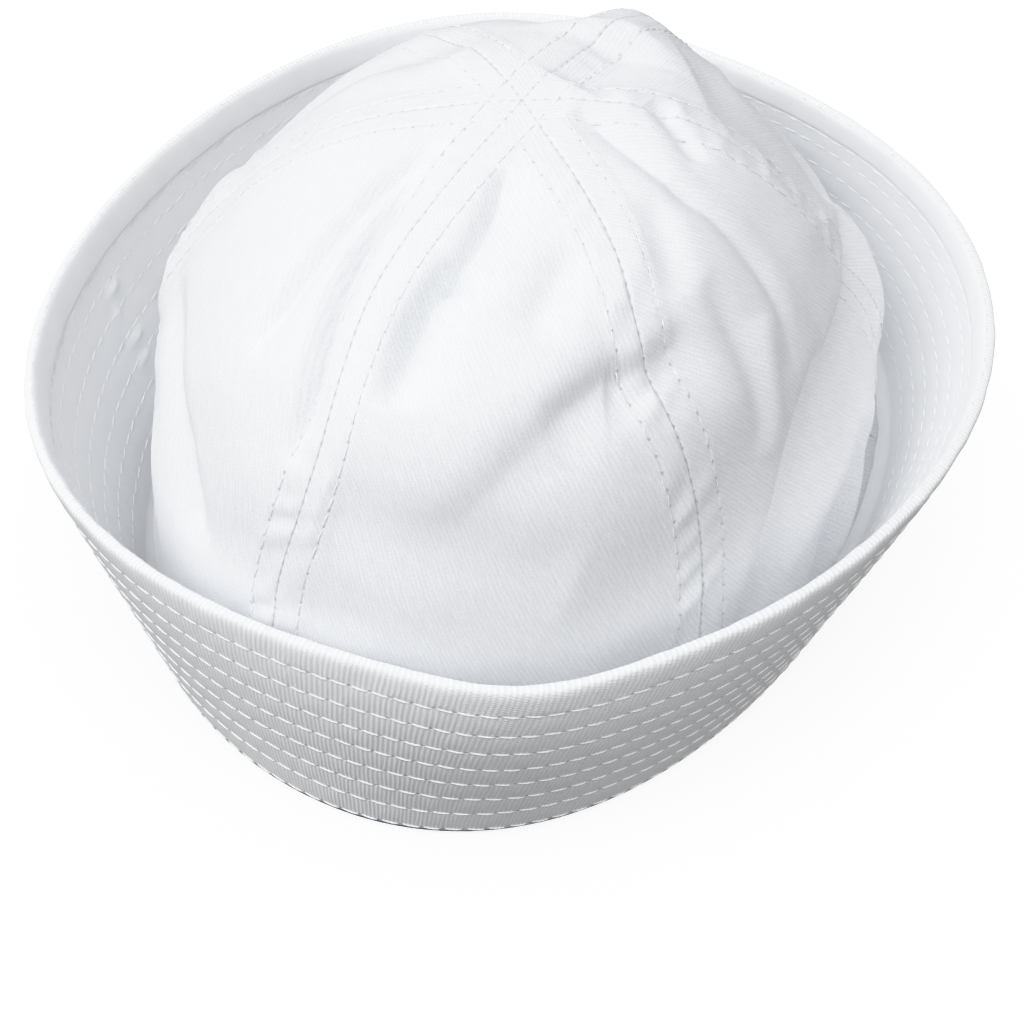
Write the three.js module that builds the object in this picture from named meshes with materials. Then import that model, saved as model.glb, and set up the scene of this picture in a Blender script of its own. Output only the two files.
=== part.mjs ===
// A white cotton sailor cap: six gores sewn into a soft domed crown, and a doubled, row-stitched brim
// that is turned up round it. Millimetres, +Z up, the front of the cap towards -Y. The cap stands on the
// flat fold at the foot of its brim, and the crown is open below for the head.
import * as THREE from "three";

// The crown: half sizes of its widest oval, where it stands, and how full its curve is on each side.
const CROWN = {
  centre: new THREE.Vector2(0.1, 2.1),
  halfWidth: 80.5,
  halfLength: 100,
  height: 114,
  // how far the meeting point of the gores lies from the middle of the oval
  apexShift: new THREE.Vector2(3.5, 3.1),
  // exponents of the profile: 2 is an ellipse, more is squarer, less slopes off
  fullness: { front: 3.6, side: 2.34, back: 1.85 },
  // the foot of the crown follows the brim at this inset, and swells to the full oval over this height
  footInset: 4.2,
  swellHeight: 8,
  cloth: 1.2,
};

// The gores, each between two seams at these turns about +Z, in degrees from +X.
const GORES = [
  { name: "gore_front", from: 255, to: 321 },
  { name: "gore_front_right", from: 321, to: 379 },
  { name: "gore_back_right", from: 19, to: 78 },
  { name: "gore_back", from: 78, to: 141 },
  { name: "gore_back_left", from: 141, to: 196 },
  { name: "gore_front_left", from: 196, to: 255 },
];

// A felled seam is a raised strip on both sides of the seam line.
const SEAM = { gap: 0.3, stripHalfWidth: 6.5, stripFade: 2.5, stripRise: 0.5 };

// Folds of the cloth. Each runs through three places, given as a turn in degrees and a rise from 0 at
// the foot to 1 at the top. A negative depth is a valley and a positive one a ridge.
const FOLDS = [
  // front gore
  { start: [281, 0.87], middle: [273, 0.71], end: [269, 0.57], width: 6.5, depth: -3.4 },
  { start: [309, 0.72], middle: [299, 0.66], end: [289, 0.6], width: 7, depth: -2.2 },
  { start: [310, 0.63], middle: [297, 0.58], end: [279, 0.52], width: 9, depth: 1.6 },
  { start: [316, 0.53], middle: [303, 0.5], end: [284, 0.41], width: 8.5, depth: -3.8 },
  { start: [272, 0.37], middle: [290, 0.37], end: [309, 0.32], width: 12, depth: -2.2 },
  // front right gore, the valley under its shoulder, its swollen side and the pinch at its foot
  { start: [353, 0.9], middle: [345, 0.68], end: [343, 0.42], width: 7.5, depth: -3.4 },
  { start: [339, 0.74], middle: [335, 0.64], end: [329, 0.52], width: 7, depth: -3.4 },
  { start: [338, 0.53], middle: [338, 0.47], end: [336, 0.41], width: 7, depth: -2 },
  { start: [388, 0.31], middle: [362, 0.33], end: [339, 0.29], width: 9, depth: -3.2 },
  { start: [394, 0.24], middle: [389, 0.19], end: [384, 0.14], width: 11, depth: 3.2 },
  { start: [367, 0.19], middle: [358, 0.14], end: [350, 0.07], width: 5, depth: 2.4 },
  { start: [382, 0.06], middle: [373, 0.03], end: [358, 0.02], width: 10, depth: -3 },
  // front left gore, its full shoulder and the tuck at its foot
  { start: [242, 0.85], middle: [242, 0.73], end: [249, 0.58], width: 7, depth: -3 },
  { start: [234, 0.69], middle: [234, 0.61], end: [238, 0.53], width: 7.5, depth: -2.4 },
  { start: [211, 0.48], middle: [223, 0.43], end: [236, 0.37], width: 8.5, depth: -2.8 },
  { start: [184, 0.47], middle: [192, 0.4], end: [200, 0.34], width: 14, depth: 2.4 },
  { start: [203, 0.26], middle: [209, 0.18], end: [215, 0.08], width: 12, depth: -1.6 },
  // back right gore, its shoulder and the puffed seam behind it
  { start: [42, 0.65], middle: [34, 0.52], end: [25, 0.43], width: 18, depth: -2.6 },
  { start: [52, 0.9], middle: [60, 0.83], end: [66, 0.74], width: 7.5, depth: -2.8 },
  { start: [74, 0.74], middle: [82, 0.64], end: [86, 0.55], width: 13, depth: 4.2 },
  { start: [60, 0.48], middle: [47, 0.4], end: [34, 0.3], width: 10, depth: -2.3 },
  // back and back left gores
  { start: [96, 0.72], middle: [108, 0.56], end: [126, 0.44], width: 10, depth: -3 },
  { start: [92, 0.36], middle: [106, 0.32], end: [120, 0.26], width: 12, depth: -2.2 },
  { start: [150, 0.78], middle: [160, 0.6], end: [175, 0.48], width: 9, depth: -2.8 },
];

// The brim: its width up the wall, its cloth, and the fold at its foot that is turned in flat.
const BRIM = {
  width: 54.7,
  cloth: 2.4,
  turnIn: 7.5,
  // roundings of the foot outside and inside, and of the top edge
  corner: 2,
  heel: 0.5,
  edgeRound: 1,
  // the rolled top edge stands proud of the two faces
  rollOut: 0.35,
  rollIn: 0.8,
};

// The front of the brim: round this turn, over spreads in degrees, the rim is pulled out to a low lip and
// the wall is bowed outward, most at two thirds of its height.
const FRONT = { turn: 291, lipSpread: 13.5, lipReach: 4.1, bowSpread: 45, bowDepth: 2 };

// The rows of stitching that quilt the brim, spaced evenly below the rolled edge.
const ROWS = { count: 8, topMargin: 1.0, footMargin: 0.35, groove: 0.35 };
ROWS.pitch = BRIM.width / (ROWS.count - 1 + ROWS.topMargin + ROWS.footMargin);

// The brim's two outlines, seen from above, at the outer face of the cloth. The waves make each oval
// slightly uneven: a share of the radius for that number of waves in a turn.
const FOOT_OVAL = {
  centre: new THREE.Vector2(-0.4, 2.6),
  halfWidth: 82.6,
  halfLength: 104.4,
  waves: [
    { turns: 2, cosine: 0, sine: 0.011 },
    { turns: 3, cosine: -0.011, sine: 0.008 },
    { turns: 4, cosine: -0.004, sine: 0.009 },
  ],
};
const RIM_OVAL = {
  centre: new THREE.Vector2(-1.3, 0),
  halfWidth: 105.8,
  halfLength: 103.8,
  waves: [
    { turns: 2, cosine: 0, sine: 0.005 },
    { turns: 3, cosine: 0.011, sine: 0.006 },
    { turns: 4, cosine: -0.009, sine: 0.016 },
  ],
};

// How finely the faceted pieces are divided.
const MESH = { goreColumns: 14, goreRows: 18, brimSteps: 48, foldSteps: 10, goreTip: 0.99 };
// Steps over which slopes are measured: a turn in degrees, a rise and an angle in radians.
const SLOPE = { turn: 1, rise: 0.002, angle: 0.01 };

const { degToRad, euclideanModulo, lerp, radToDeg, smoothstep } = THREE.MathUtils;
const CLOTH_COLOUR = 0xf1f2f4;
const FOOT_LEVEL = BRIM.cloth + SEAM.gap;
const CROWN_OVAL = { ...CROWN, waves: [] };
const CROWN_FOOT = {
  ...FOOT_OVAL,
  halfWidth: FOOT_OVAL.halfWidth - CROWN.footInset,
  halfLength: FOOT_OVAL.halfLength - CROWN.footInset,
};

// Point of an uneven oval at an angle, on the level of the floor.
function ovalPoint({ centre, halfWidth, halfLength, waves }, angle) {
  const share = waves.reduce((sum, { turns, cosine, sine }) => {
    return sum + cosine * Math.cos(turns * angle) + sine * Math.sin(turns * angle);
  }, 1);
  return new THREE.Vector3(
    centre.x + halfWidth * share * Math.cos(angle),
    centre.y + halfLength * share * Math.sin(angle),
    0,
  );
}

// Point of the crown's smooth outer form at a turn in degrees and a rise from 0 to 1. The profile is a
// superellipse in polar form, whose exponent runs from the front to the side to the back.
function crownPoint(turn, rise) {
  const angle = degToRad(turn);
  const lean = Math.sin(angle);
  const end = lean < 0 ? CROWN.fullness.front : CROWN.fullness.back;
  const power = lerp(CROWN.fullness.side, end, Math.abs(lean));
  const tilt = rise * Math.PI * 0.5;
  const scale = (Math.cos(tilt) ** power + Math.sin(tilt) ** power) ** (-1 / power);
  const reach = scale * Math.cos(tilt);
  const lift = scale * Math.sin(tilt);
  const height = (CROWN.height - FOOT_LEVEL) * lift;
  const swell = 1 - Math.exp(-height / CROWN.swellHeight);
  const outline = ovalPoint(CROWN_FOOT, angle).lerp(ovalPoint(CROWN_OVAL, angle), swell);
  return new THREE.Vector3(
    lerp(CROWN.centre.x, outline.x, reach) + CROWN.apexShift.x * lift ** 2,
    lerp(CROWN.centre.y, outline.y, reach) + CROWN.apexShift.y * lift ** 2,
    FOOT_LEVEL + height,
  );
}

// Outward normal of that form, from two short chords.
function crownNormal(turn, rise) {
  const low = Math.max(rise - SLOPE.rise, 0);
  const across = crownPoint(turn + SLOPE.turn, rise).sub(crownPoint(turn - SLOPE.turn, rise));
  const upward = crownPoint(turn, low + 2 * SLOPE.rise).sub(crownPoint(turn, low));
  return across.cross(upward).normalize();
}

// A fold's path as short straight pieces on the crown.
function foldPath({ start, middle, end }) {
  const places = [start, middle, end].map(([turn, rise]) => new THREE.Vector2(turn, rise));
  const points = new THREE.SplineCurve(places).getPoints(MESH.foldSteps).map((p) => crownPoint(p.x, p.y));
  return points.slice(1).map((point, i) => new THREE.Line3(points[i], point));
}
const FOLD_PATHS = FOLDS.map((fold) => ({ ...fold, path: foldPath(fold) }));

// How far the cloth stands off the smooth form at a point: the sum of the folds, each a bell curve of
// the distance to its path.
function foldDepth(point) {
  const nearest = new THREE.Vector3();
  return FOLD_PATHS.reduce((sum, { path, width, depth }) => {
    const gaps = path.map((line) => line.closestPointToPoint(point, true, nearest).distanceTo(point));
    return sum + depth * Math.exp(-((Math.min(...gaps) / width) ** 2));
  }, 0);
}

// How far the seam strip raises the cloth at a distance from the seam line.
function stripHeight(distance) {
  const edge = SEAM.stripHalfWidth;
  return SEAM.stripRise * (1 - smoothstep(distance, edge, edge + SEAM.stripFade));
}

// A closed shell between two grids of points, where rows run up and columns run across.
function shellGeometry(outer, inner) {
  const rows = outer.length;
  const columns = outer[0].length;
  const inside = rows * columns;
  const at = (side, j, i) => side * inside + j * columns + i;
  const index = [];
  const face = (a, b, c, d) => index.push(a, b, c, a, c, d);
  for (let j = 0; j + 1 < rows; j++) {
    for (let i = 0; i + 1 < columns; i++) {
      face(at(0, j, i), at(0, j, i + 1), at(0, j + 1, i + 1), at(0, j + 1, i));
      face(at(1, j, i), at(1, j + 1, i), at(1, j + 1, i + 1), at(1, j, i + 1));
    }
  }
  for (let j = 0, last = columns - 1; j + 1 < rows; j++) {
    face(at(0, j, 0), at(0, j + 1, 0), at(1, j + 1, 0), at(1, j, 0));
    face(at(0, j, last), at(1, j, last), at(1, j + 1, last), at(0, j + 1, last));
  }
  for (let i = 0, last = rows - 1; i + 1 < columns; i++) {
    face(at(0, 0, i), at(1, 0, i), at(1, 0, i + 1), at(0, 0, i + 1));
    face(at(0, last, i), at(0, last, i + 1), at(1, last, i + 1), at(1, last, i));
  }
  const points = [...outer.flat(), ...inner.flat()];
  return new THREE.BufferGeometry().setFromPoints(points).setIndex(index);
}

// A closed ring from sections that follow each other round the cap.
function ringGeometry(sections) {
  const count = sections[0].length;
  const index = [];
  sections.forEach((_, i) => {
    const here = i * count;
    const next = ((i + 1) % sections.length) * count;
    for (let j = 0; j < count; j++) {
      const k = (j + 1) % count;
      index.push(here + j, next + j, next + k, here + j, next + k, here + k);
    }
  });
  return new THREE.BufferGeometry().setFromPoints(sections.flat()).setIndex(index);
}

// One gore: the crown's form between two seams, with its folds and its share of the seam strips.
function goreGeometry({ from, to }) {
  const outer = [];
  const inner = [];
  for (let j = 0; j <= MESH.goreRows; j++) {
    const rise = (j / MESH.goreRows) * MESH.goreTip;
    const width = crownPoint(from, rise).distanceTo(crownPoint(to, rise));
    const margin = ((to - from) * SEAM.gap * 0.5) / width;
    const turns = Array.from({ length: MESH.goreColumns + 1 }, (_, i) =>
      lerp(from + margin, to - margin, i / MESH.goreColumns),
    );
    const seams = [crownPoint(from, rise), crownPoint(to, rise)];
    const row = turns.map((turn) => {
      const point = crownPoint(turn, rise);
      const strip = stripHeight(Math.min(...seams.map((seam) => seam.distanceTo(point))));
      const normal = crownNormal(turn, rise);
      const face = point.clone().addScaledVector(normal, foldDepth(point) + strip);
      return { face, back: face.clone().addScaledVector(normal, -CROWN.cloth) };
    });
    outer.push(row.map(({ face }) => face));
    inner.push(row.map(({ back }) => back));
  }
  // the foot is cut level
  [...outer[0], ...inner[0]].forEach((point) => point.setZ(FOOT_LEVEL));
  return shellGeometry(outer, inner);
}

// Share of a feature of the brim's front at an angle: a bell curve of the distance in degrees.
function frontShare(angle, spread) {
  const away = euclideanModulo(radToDeg(angle) - FRONT.turn + 180, 360) - 180;
  return Math.exp(-((away / spread) ** 2));
}

// Section of the brim at an angle: along the floor, up the outer face past each row of stitching, over
// the rolled edge, down the inner face and back along the turned-in fold.
function brimSection(angle) {
  const foot = ovalPoint(FOOT_OVAL, angle);
  const heading = new THREE.Vector3(Math.cos(angle), Math.sin(angle), 0);
  const lip = FRONT.lipReach * frontShare(angle, FRONT.lipSpread);
  const rim = ovalPoint(RIM_OVAL, angle).addScaledVector(heading, lip);
  const flare = rim.distanceTo(foot);
  rim.z = Math.sqrt(BRIM.width ** 2 - flare ** 2);
  const ahead = ovalPoint(FOOT_OVAL, angle + SLOPE.angle);
  const along = ahead.sub(ovalPoint(FOOT_OVAL, angle - SLOPE.angle));
  const level = new THREE.Vector3(along.y, -along.x, 0).normalize();
  const upward = rim.clone().sub(foot).normalize();
  const outward = level.clone().addScaledVector(upward, -level.dot(upward)).normalize();
  const bowed = FRONT.bowDepth * frontShare(angle, FRONT.bowSpread);
  const wall = (height, depth) => {
    const share = height / BRIM.width;
    const bow = bowed * 6.75 * share ** 2 * (1 - share);
    return foot.clone().addScaledVector(upward, height).addScaledVector(outward, bow - depth);
  };
  const fold = (inset, height) => foot.clone().addScaledVector(level, -inset).setZ(height);

  const { width, cloth, corner, heel, edgeRound, turnIn, rollOut, rollIn } = BRIM;
  const outerFace = [];
  const innerFace = [];
  for (let k = 0; k < ROWS.count; k++) {
    const height = (ROWS.footMargin + k) * ROWS.pitch;
    const crest = height + ROWS.pitch * 0.5;
    const top = k === ROWS.count - 1;
    outerFace.push(wall(height, ROWS.groove), wall(crest, top ? -rollOut : 0));
    innerFace.unshift(wall(crest, top ? cloth + rollIn : cloth));
    if (k > 0) innerFace.splice(1, 0, wall(height, cloth - ROWS.groove));
  }
  const shoulder = width - edgeRound;
  const edge = [wall(shoulder, 0), wall(width, cloth * 0.5), wall(shoulder, cloth + rollIn * 0.5)];
  const bevel = corner * (1 - Math.SQRT1_2);
  const floor = [fold(turnIn, 0), fold(corner, 0), fold(bevel, bevel)];
  const inside = [fold(cloth + heel, cloth), fold(turnIn, cloth)];
  return [...floor, ...outerFace, ...edge, ...innerFace, ...inside];
}

function brimGeometry() {
  const sections = Array.from({ length: MESH.brimSteps }, (_, i) =>
    brimSection((i / MESH.brimSteps) * Math.PI * 2),
  );
  return ringGeometry(sections);
}

// A piece of white twill as a named mesh.
function clothPiece(name, geometry) {
  geometry.computeVertexNormals();
  const twill = new THREE.MeshStandardMaterial({ color: CLOTH_COLOUR, roughness: 0.92, metalness: 0 });
  const mesh = new THREE.Mesh(geometry, twill);
  mesh.name = name;
  return mesh;
}

const cap = new THREE.Group();
cap.add(...GORES.map((gore) => clothPiece(gore.name, goreGeometry(gore))));
cap.add(clothPiece("brim", brimGeometry()));

export default cap;
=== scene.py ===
"""White cotton sailor cap: a soft crown of six twill gores inside a doubled, row-stitched, upturned brim.

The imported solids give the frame. Each piece follows the same named sizes as its solid, in millimetres with
+Z up and the front towards -Y, and adds what the solids leave out: fine folds, puckers, stitches and weave.
Lengths become metres when a mesh is written.
"""

from __future__ import annotations

import logging
from dataclasses import dataclass, replace
from enum import Enum

import bpy
import numpy as np
from mathutils import Matrix, Vector

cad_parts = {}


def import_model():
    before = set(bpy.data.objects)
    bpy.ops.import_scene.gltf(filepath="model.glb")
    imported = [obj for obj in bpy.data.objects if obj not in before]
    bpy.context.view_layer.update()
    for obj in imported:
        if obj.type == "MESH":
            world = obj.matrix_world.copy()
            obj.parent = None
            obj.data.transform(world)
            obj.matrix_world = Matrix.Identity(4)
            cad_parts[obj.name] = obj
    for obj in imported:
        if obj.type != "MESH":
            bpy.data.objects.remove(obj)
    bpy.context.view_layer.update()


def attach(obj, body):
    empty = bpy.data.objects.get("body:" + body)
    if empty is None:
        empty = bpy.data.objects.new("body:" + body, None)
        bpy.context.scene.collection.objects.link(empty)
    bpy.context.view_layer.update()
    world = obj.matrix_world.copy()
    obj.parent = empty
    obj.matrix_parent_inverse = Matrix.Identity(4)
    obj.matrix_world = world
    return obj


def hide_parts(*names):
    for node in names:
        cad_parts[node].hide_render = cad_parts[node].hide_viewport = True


Socket = bpy.types.NodeSocket

LOG = logging.getLogger("sailor_cap")
MM = 0.001
BODY = "root"
WEAVE_MAP = "weave"
STITCH_MAP = "stitch"
CALM_ROW = -2.5
NEUTRAL = (1.0, 1.0, 1.0)
COOL = (0.95, 0.972, 1.0)


class Slot(Enum):
    """The record's material slots."""

    CROWN = "crown_twill"
    BRIM = "brim_twill"


class Face(Enum):
    """The two faces of the doubled brim."""

    OUTER = "outer"
    INNER = "inner"


def smoothstep(value: np.ndarray, low: float, high: float) -> np.ndarray:
    """Smooth run from 0 at low to 1 at high: 3t^2 - 2t^3 of the clipped share t."""
    share = np.clip((value - low) / (high - low), 0.0, 1.0)
    return share * share * (3.0 - 2.0 * share)


def bell(distance: np.ndarray, width: float | np.ndarray) -> np.ndarray:
    """Bell curve exp(-(distance / width)^2)."""
    return np.exp(-((distance / width) ** 2))


def unit(vectors: np.ndarray) -> np.ndarray:
    """Vectors scaled to length 1."""
    return vectors / np.linalg.norm(vectors, axis=-1, keepdims=True)


def swing(phase: np.ndarray | float) -> np.ndarray:
    """Sine of a phase counted in whole turns."""
    return np.sin(2.0 * np.pi * phase)


def wrapped(degrees: np.ndarray) -> np.ndarray:
    """The same angles, from -180 up to 180 degrees."""
    return (degrees + 180.0) % 360.0 - 180.0


def running_length(points: np.ndarray) -> np.ndarray:
    """Length along a line of points from its first one to each."""
    steps = np.linalg.norm(np.diff(points, axis=0), axis=1)
    return np.concatenate([[0.0], np.cumsum(steps)])


def quads(rows: int, columns: int) -> np.ndarray:
    """Corner places of a grid's quads.

    Args:
        rows: Number of quads up the grid.
        columns: Number of quads across it.

    Returns:
        Array of (quad, corner, 2) row and column numbers, turning left seen from outside.
    """
    row, column = np.meshgrid(np.arange(rows), np.arange(columns), indexing="ij")
    corners = [(row, column), (row, column + 1), (row + 1, column + 1), (row + 1, column)]
    return np.stack([np.stack(corner, axis=-1) for corner in corners], axis=2).reshape(-1, 4, 2)


def write_mesh(
    name: str, points: np.ndarray, faces: list[np.ndarray], maps: dict[str, np.ndarray]
) -> bpy.types.Object:
    """Puts whole arrays into a new smooth-shaded mesh object at the origin.

    Args:
        name: Name of the object.
        points: Vertices in millimetres, (count, 3).
        faces: Arrays of vertex numbers, each (count, corners).
        maps: UV maps by name, each (loops, 2) in the order of the faces' corners.

    Returns:
        The object, linked to the scene.
    """
    mesh = bpy.data.meshes.new(name)
    corners = np.concatenate([face.ravel() for face in faces])
    totals = np.concatenate([np.full(len(face), face.shape[1]) for face in faces])
    mesh.vertices.add(len(points))
    mesh.vertices.foreach_set("co", (points * MM).astype(np.float32).ravel())
    mesh.loops.add(len(corners))
    mesh.loops.foreach_set("vertex_index", corners.astype(np.int32))
    mesh.polygons.add(len(totals))
    mesh.polygons.foreach_set("loop_start", np.concatenate([[0], np.cumsum(totals)[:-1]]).astype(np.int32))
    mesh.polygons.foreach_set("use_smooth", np.ones(len(totals), bool))
    for map_name, values in maps.items():
        layer = mesh.uv_layers.new(name=map_name)
        layer.uv.foreach_set("vector", values.astype(np.float32).ravel())
    mesh.update(calc_edges=True)
    mesh.validate()
    piece = bpy.data.objects.new(name, mesh)
    bpy.context.scene.collection.objects.link(piece)
    return piece


@dataclass(frozen=True)
class Wave:
    """One wave of an uneven oval, as a share of its radius."""

    turns: int
    cosine: float
    sine: float


@dataclass(frozen=True)
class Oval:
    """An uneven oval on the floor: an ellipse whose radius is scaled by 1 plus its waves."""

    centre: tuple[float, float]
    half: tuple[float, float]
    waves: tuple[Wave, ...] = ()

    def points(self, angle: np.ndarray) -> np.ndarray:
        """Points of the oval, on the level of the floor.

        Args:
            angle: Angles in radians.

        Returns:
            Points, (..., 3).
        """
        share = np.ones_like(angle)
        for wave in self.waves:
            share = share + wave.cosine * np.cos(wave.turns * angle) + wave.sine * np.sin(wave.turns * angle)
        x = self.centre[0] + self.half[0] * share * np.cos(angle)
        y = self.centre[1] + self.half[1] * share * np.sin(angle)
        return np.stack([x, y, np.zeros_like(x)], axis=-1)

    @property
    def mean_half(self) -> float:
        """Mean of the two half sizes."""
        return (self.half[0] + self.half[1]) / 2.0

    def inset(self, depth: float) -> Oval:
        """The same oval with smaller half sizes."""
        return replace(self, half=(self.half[0] - depth, self.half[1] - depth))


FOOT_OVAL = Oval(
    centre=(-0.4, 2.6),
    half=(82.6, 104.4),
    waves=(Wave(2, 0.0, 0.011), Wave(3, -0.011, 0.008), Wave(4, -0.004, 0.009)),
)
RIM_OVAL = Oval(
    centre=(-1.3, 0.0),
    half=(105.8, 103.8),
    waves=(Wave(2, 0.0, 0.005), Wave(3, 0.011, 0.006), Wave(4, -0.009, 0.016)),
)


@dataclass(frozen=True)
class Bend:
    """A place where the cloth is drawn round the crown.

    It has a turn and a rise, their spreads, and a swing in degrees.
    """

    turn: float
    rise: float
    turn_spread: float
    rise_spread: float
    swing: float

    def drift(self, turn: np.ndarray, rise: np.ndarray) -> np.ndarray:
        """Degrees by which a place is moved: a bell curve of the turn times one of the rise."""
        away = wrapped(turn - self.turn)
        return self.swing * bell(away, self.turn_spread) * bell(rise - self.rise, self.rise_spread)


@dataclass(frozen=True)
class CrownForm:
    """The crown's smooth outer form.

    A place on it is a turn about +Z in degrees and a rise from 0 at the foot to 1 at the top. The profile is
    a superellipse in polar form, whose exponent runs from the front to the side to the back.
    """

    widest: Oval = Oval((0.1, 2.1), (80.5, 100.0))
    foot: Oval = FOOT_OVAL.inset(4.2)
    height: float = 114.0
    foot_level: float = 2.7
    swell_height: float = 8.0
    apex_shift: tuple[float, float] = (3.5, 3.1)
    front_fullness: float = 3.6
    side_fullness: float = 2.34
    back_fullness: float = 1.85
    bends: tuple[Bend, ...] = (
        Bend(255, 0.47, 24, 0.16, 4.5),
        Bend(321, 0.57, 18, 0.10, -2.6),
        Bend(321, 0.32, 18, 0.12, 1.4),
    )

    def power(self, turn: np.ndarray) -> np.ndarray:
        """Exponent of the profile.

        Args:
            turn: Turns in degrees.

        Returns:
            Exponents, which run evenly with the sine of the turn from the side to the front or the back.
        """
        lean = np.sin(np.radians(turn))
        end = np.where(lean < 0.0, self.front_fullness, self.back_fullness)
        return self.side_fullness + (end - self.side_fullness) * np.abs(lean)

    def point(self, turn: np.ndarray, rise: np.ndarray) -> np.ndarray:
        """Points of the form.

        Reach and lift are the two legs of the superellipse. Reach scales the outline, which swells from the
        foot's oval to the widest one, and lift gives the height and the drift of the top.

        Args:
            turn: Turns in degrees.
            rise: Rises from 0 to 1, of a shape that fits the turns.

        Returns:
            Points, (..., 3).
        """
        turn, rise = np.broadcast_arrays(np.asarray(turn, float), np.asarray(rise, float))
        turn = turn + sum(bend.drift(turn, rise) for bend in self.bends)
        angle = np.radians(turn)
        power = self.power(turn)
        tilt = rise * np.pi / 2.0
        cosine = np.clip(np.cos(tilt), 1e-9, None)
        scale = (cosine**power + np.sin(tilt) ** power) ** (-1.0 / power)
        reach = scale * cosine
        lift = scale * np.sin(tilt)
        height = (self.height - self.foot_level) * lift
        swell = (1.0 - np.exp(-height / self.swell_height))[..., None]
        foot = self.foot.points(angle)
        outline = foot + (self.widest.points(angle) - foot) * swell
        x = self.widest.centre[0] * (1.0 - reach) + outline[..., 0] * reach + self.apex_shift[0] * lift**2
        y = self.widest.centre[1] * (1.0 - reach) + outline[..., 1] * reach + self.apex_shift[1] * lift**2
        return np.stack([x, y, self.foot_level + height], axis=-1)

    def normal(self, turn: np.ndarray, rise: np.ndarray) -> np.ndarray:
        """Outward normals, from a short chord across and one upward.

        Args:
            turn: Turns in degrees.
            rise: Rises from 0 to 1.

        Returns:
            Unit normals, (..., 3).
        """
        step_turn, step_rise = 1.0, 0.002
        low = np.clip(np.asarray(rise, float) - step_rise, 0.0, 1.0 - 2.0 * step_rise)
        across = self.point(turn + step_turn, rise) - self.point(turn - step_turn, rise)
        upward = self.point(turn, low + 2.0 * step_rise) - self.point(turn, low)
        return unit(np.cross(across, upward))


@dataclass(frozen=True)
class Fold:
    """A fold through three places, each a turn and a rise.

    A negative depth is a valley, a positive one a ridge. A positive skew makes the side towards larger turns
    wider than the other. The curve across the fold is a bell at a sharpness of 2 and a crease at less.
    """

    start: tuple[float, float]
    middle: tuple[float, float]
    end: tuple[float, float]
    width: float
    depth: float
    skew: float = 0.0
    sharpness: float = 2.0
    steps: int = 14

    def path(self, form: CrownForm) -> np.ndarray:
        """Points along the fold: the parabola through its three places, laid on the form.

        Args:
            form: The crown's smooth form.

        Returns:
            Points, (steps + 1, 3).
        """
        share = np.linspace(0.0, 1.0, self.steps + 1)[:, None]
        near = 2.0 * (share - 0.5) * (share - 1.0)
        mid = 4.0 * share * (1.0 - share)
        far = 2.0 * share * (share - 0.5)
        place = near * np.array(self.start) + mid * np.array(self.middle) + far * np.array(self.end)
        return form.point(place[:, 0], place[:, 1])

    def lift(self, form: CrownForm, points: np.ndarray, normals: np.ndarray) -> np.ndarray:
        """How far the fold moves each point outward.

        The depth fades to nothing at both ends as 1 - (2t - 1)^4, and across the fold as
        exp(-(d / width)^sharpness) of the distance d to the path, with a width of its own on each side.

        Args:
            form: The crown's smooth form.
            points: Points on the form, (count, 3).
            normals: Their outward normals.

        Returns:
            Offsets along the normals, (count,).
        """
        path = self.path(form)
        begin, chord = path[:-1], np.diff(path, axis=0)
        away = points[:, None, :] - begin[None]
        share = np.clip((away * chord).sum(-1) / (chord**2).sum(-1), 0.0, 1.0)
        gap = away - share[..., None] * chord
        distance = np.linalg.norm(gap, axis=-1)
        nearest = distance.argmin(axis=1)
        row = np.arange(len(points))
        along = (nearest + share[row, nearest]) / self.steps
        sideways = (np.cross(normals, chord[nearest]) * gap[row, nearest]).sum(-1)
        towards = 1.0 if self.end[1] < self.start[1] else -1.0
        width = self.width * (1.0 + self.skew * towards * np.sign(sideways))
        fade = 1.0 - np.abs(2.0 * along - 1.0) ** 4
        return self.depth * fade * np.exp(-((distance[row, nearest] / width) ** self.sharpness))


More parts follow.
